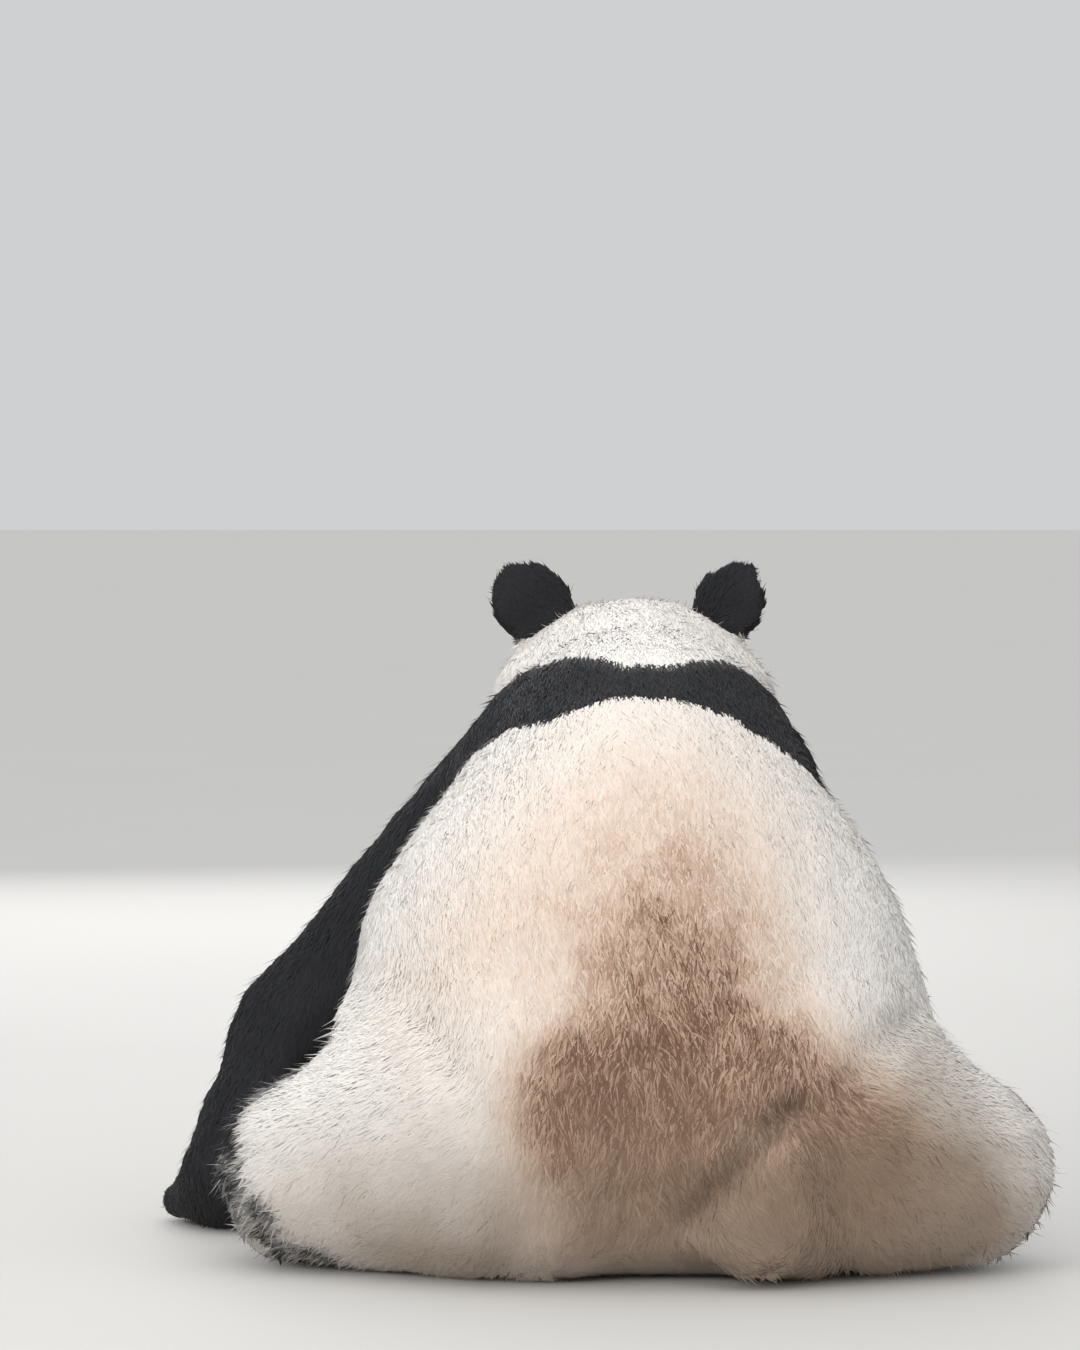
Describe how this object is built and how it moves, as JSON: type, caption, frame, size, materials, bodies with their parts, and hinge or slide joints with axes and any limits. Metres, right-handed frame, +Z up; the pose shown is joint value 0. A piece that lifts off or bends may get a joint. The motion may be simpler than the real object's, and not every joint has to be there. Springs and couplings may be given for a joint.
{
  "type": "giant panda",
  "caption": "Life-size still model of an adult giant panda sitting on its rump, leaning forward on its forelegs with the head low and facing ahead.",
  "frame": {"origin": "on the floor, under the middle of the animal's bounding box", "axes": "+Z up; the animal faces -Y, and its own left side is +X"},
  "size_m": [1.013, 1.0606, 0.7779],
  "materials": {
    "white_coat": "thick creamy white fur in short lying tufts, stained warm brown low on the back",
    "black_coat": "dense cool black fur with a faint grey sheen",
    "eye": "wet dark brown eyeball with a clear gloss",
    "nose": "bare black pebbled skin of the nose pad and the soles, slightly moist",
    "claw": "dull grey-brown horn, paler at the tip"
  },
  "bodies": {
    "root": {"head": "white_coat", "neck": "white_coat", "trunk": "white_coat", "tail": "white_coat", "ear_left": "black_coat", "eye_left": "eye", "ear_right": "black_coat", "eye_right": "eye", "nose": "nose", "upper_arm_left": "black_coat", "forearm_left": "black_coat", "forepaw_left": "black_coat", "thigh_left": "white_coat", "shin_left": "black_coat", "hind_foot_left": "black_coat", "claw_fore_left_1": "claw", "claw_fore_left_2": "claw", "claw_fore_left_3": "claw", "claw_fore_left_4": "claw", "claw_fore_left_5": "claw", "claw_hind_left_1": "claw", "claw_hind_left_2": "claw", "claw_hind_left_3": "claw", "claw_hind_left_4": "claw", "claw_hind_left_5": "claw", "upper_arm_right": "black_coat", "forearm_right": "black_coat", "forepaw_right": "black_coat", "thigh_right": "white_coat", "shin_right": "black_coat", "hind_foot_right": "black_coat", "claw_fore_right_1": "claw", "claw_fore_right_2": "claw", "claw_fore_right_3": "claw", "claw_fore_right_4": "claw", "claw_fore_right_5": "claw", "claw_hind_right_1": "claw", "claw_hind_right_2": "claw", "claw_hind_right_3": "claw", "claw_hind_right_4": "claw", "claw_hind_right_5": "claw"}
  },
  "joints": []
}
